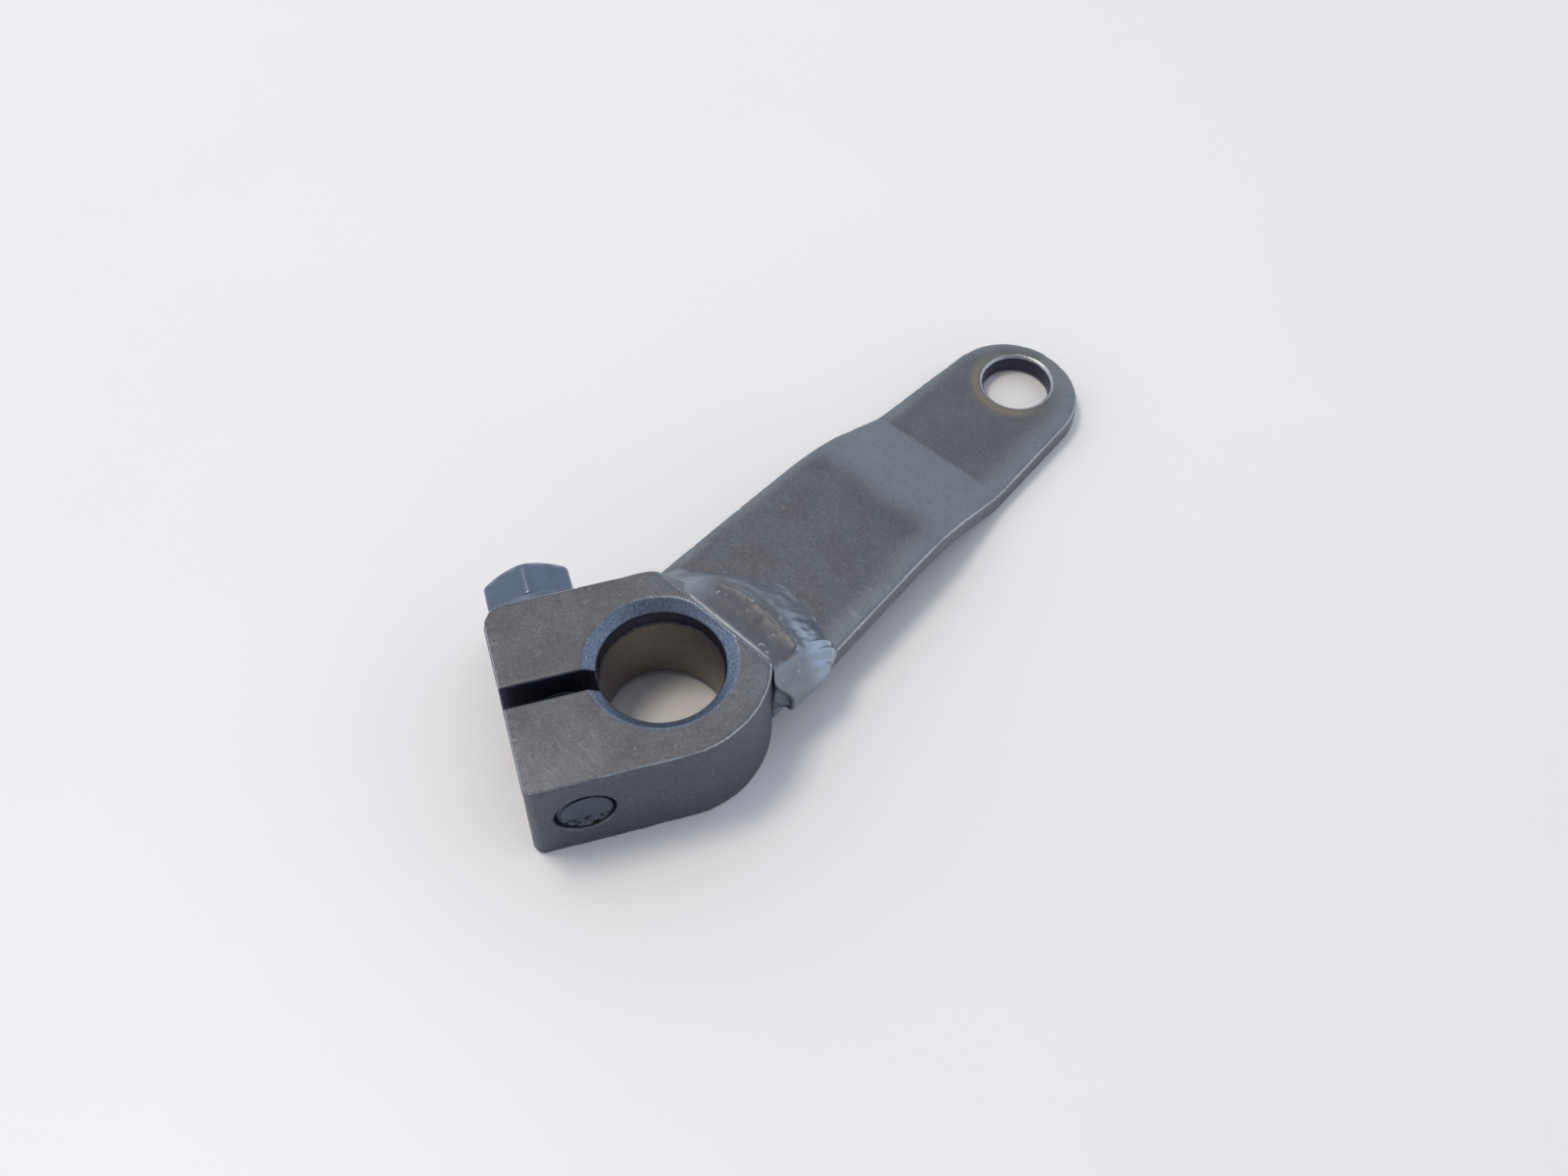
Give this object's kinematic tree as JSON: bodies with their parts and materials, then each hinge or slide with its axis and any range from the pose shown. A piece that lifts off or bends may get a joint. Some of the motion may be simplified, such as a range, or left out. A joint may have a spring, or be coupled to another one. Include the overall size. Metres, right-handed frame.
{
  "type": "clutch lever",
  "caption": "Split clamp block with a bore, saw slot and pinch bolt, welded to a joggled flat steel arm that ends in a round eye.",
  "frame": {"origin": "middle of the lever's bounding box, on the flat underside that it lies on", "axes": "+X along the arm from the clamp to the eye, +Z along the clamp's bore, away from the surface the lever lies on"},
  "size_m": [0.1138, 0.0438, 0.0167],
  "materials": {
    "black_oxide_steel": "dark oxide over a sandy, slightly worn surface",
    "weld_metal": "dark semi-gloss weld bead, rippled",
    "blued_fastener_steel": "blue-black fastener finish, satin"
  },
  "bodies": {
    "lever": {"clamp_block": "black_oxide_steel", "lever_arm": "black_oxide_steel", "weld_bead_top": "weld_metal", "weld_bead_bottom": "weld_metal"},
    "washer": {"bolt_washer": "blued_fastener_steel"},
    "bolt": {"pinch_bolt": "blued_fastener_steel"}
  },
  "joints": [
    {"name": "bolt_travel", "type": "slide", "parent": "lever", "child": "washer", "axis": [0.5388, 0.8425, 0], "range_m": [0, 0.0125]},
    {"name": "bolt_turn", "type": "hinge", "parent": "washer", "child": "bolt", "pos_m": [-0.04335, 0.00024, 0.00835], "axis": [0.5388, 0.8425, 0], "range_deg": [0, 3600]}
  ],
  "couplings": [
    {"joint": "bolt_travel", "follows": "bolt_turn", "m_per_rad": 0.00019894}
  ]
}
